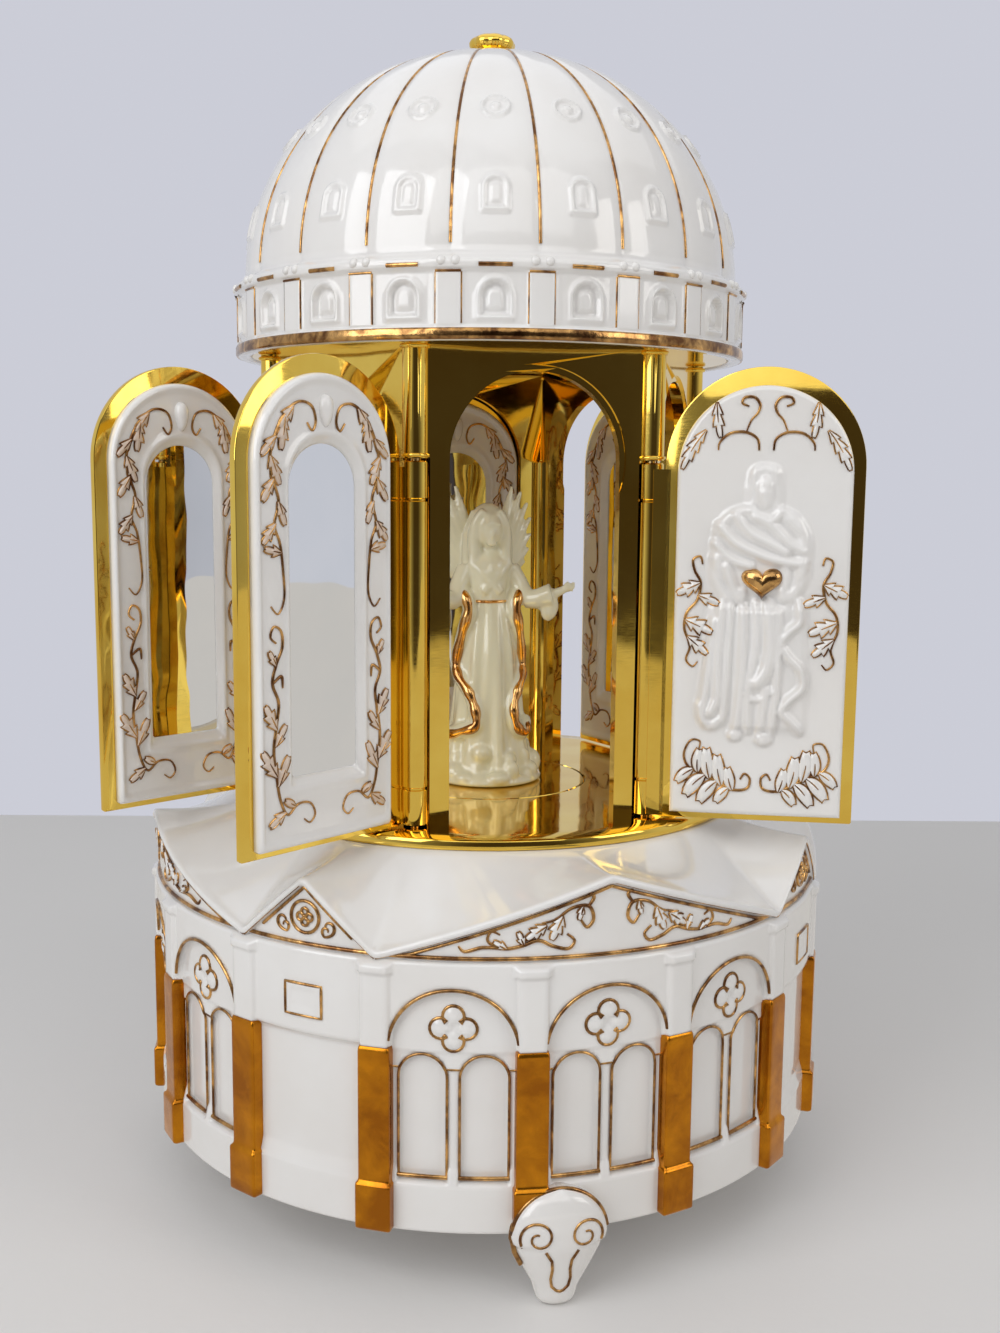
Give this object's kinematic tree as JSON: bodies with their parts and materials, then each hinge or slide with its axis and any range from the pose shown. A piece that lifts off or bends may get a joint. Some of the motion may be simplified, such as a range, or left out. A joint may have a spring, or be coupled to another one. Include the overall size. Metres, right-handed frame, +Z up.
{
  "type": "carousel music box",
  "caption": "Round porcelain music box with arcaded base, gilt hinged-door cabinet, turning robed figure, ribbed dome and wind-up movement.",
  "frame": {"origin": "on the vertical axis at table level, between the feet", "axes": "+Z up along the turntable's axis; -Y is the outward normal of the cabinet's front face; +X to the right seen from the front"},
  "size_m": [0.1629, 0.1568, 0.2501],
  "materials": {
    "porcelain": "gloss",
    "figure_porcelain": "gloss",
    "gilt": "mirror polished plating",
    "gilt_lustre": "fired gold lustre",
    "brass": "turned",
    "steel": "plain",
    "mirror": "polished"
  },
  "bodies": {
    "base": {"base_casting": "porcelain", "foot_front": "porcelain", "foot_right": "porcelain", "foot_left": "porcelain", "bottom_plate": "steel", "bottom_screws": "steel", "deck": "gilt", "spindle_bush": "brass", "cage": "gilt", "hinge_pins": "steel", "ceiling_plate": "gilt", "dome": "porcelain", "finial": "gilt_lustre", "tie_rod": "steel", "bedplate": "brass", "movement_cocks": "brass", "comb": "steel", "comb_screws": "steel"},
    "figure_turntable": {"spring_barrel": "brass", "barrel_lid": "brass", "mainspring": "steel", "output_spindle": "steel", "turntable": "gilt", "angel": "figure_porcelain"},
    "key": {"winding_key": "gilt", "winding_arbor": "steel"},
    "cylinder": {"pinned_cylinder": "brass", "cylinder_train": "steel"},
    "governor_fan": {"governor": "steel"},
    "door_front": {"door_front_panel": "gilt", "door_front_plaque": "porcelain", "door_front_lining": "porcelain", "door_front_mirror": "mirror"},
    "door_front_right": {"door_front_right_panel": "gilt", "door_front_right_plaque": "porcelain", "door_front_right_lining": "porcelain", "door_front_right_mirror": "mirror"},
    "door_back_right": {"door_back_right_panel": "gilt", "door_back_right_plaque": "porcelain", "door_back_right_lining": "porcelain", "door_back_right_mirror": "mirror"},
    "door_back": {"door_back_panel": "gilt", "door_back_plaque": "porcelain", "door_back_lining": "porcelain", "door_back_mirror": "mirror"},
    "door_back_left": {"door_back_left_panel": "gilt", "door_back_left_plaque": "porcelain", "door_back_left_lining": "porcelain", "door_back_left_mirror": "mirror"},
    "door_front_left": {"door_front_left_panel": "gilt", "door_front_left_plaque": "porcelain", "door_front_left_lining": "porcelain", "door_front_left_mirror": "mirror"}
  },
  "joints": [
    {"name": "turntable_spin", "type": "hinge", "parent": "base", "child": "figure_turntable", "pos_m": [0, 0, 0.0857], "axis": [0, 0, 1], "continuous": true},
    {"name": "key_wind", "type": "hinge", "parent": "base", "child": "key", "pos_m": [0, 0, 0.01], "axis": [0, 0, 1], "continuous": true},
    {"name": "cylinder_spin", "type": "hinge", "parent": "base", "child": "cylinder", "pos_m": [0.03, 0, 0.03752], "axis": [1, 0, 0], "continuous": true},
    {"name": "governor_spin", "type": "hinge", "parent": "base", "child": "governor_fan", "pos_m": [0.03, -0.0126, 0.03752], "axis": [1, 0, 0], "continuous": true},
    {"name": "door_front_hinge", "type": "hinge", "parent": "base", "child": "door_front", "pos_m": [-0.0241, -0.04174, 0.122], "axis": [0, 0, -1], "range_deg": [-146, 9]},
    {"name": "door_front_right_hinge", "type": "hinge", "parent": "base", "child": "door_front_right", "pos_m": [0.0241, -0.04174, 0.122], "axis": [0, 0, -1], "range_deg": [-81.5, 73.5]},
    {"name": "door_back_right_hinge", "type": "hinge", "parent": "base", "child": "door_back_right", "pos_m": [0.0482, 0, 0.122], "axis": [0, 0, -1], "range_deg": [-9.5, 145.5]},
    {"name": "door_back_hinge", "type": "hinge", "parent": "base", "child": "door_back", "pos_m": [0.0241, 0.04174, 0.122], "axis": [0, 0, -1], "range_deg": [0, 155]},
    {"name": "door_back_left_hinge", "type": "hinge", "parent": "base", "child": "door_back_left", "pos_m": [-0.0241, 0.04174, 0.122], "axis": [0, 0, -1], "range_deg": [0, 155]},
    {"name": "door_front_left_hinge", "type": "hinge", "parent": "base", "child": "door_front_left", "pos_m": [-0.0482, 0, 0.122], "axis": [0, 0, -1], "range_deg": [-90, 65]}
  ],
  "couplings": [
    {"joint": "cylinder_spin", "follows": "turntable_spin", "ratio": 3},
    {"joint": "governor_spin", "follows": "turntable_spin", "ratio": -12}
  ]
}
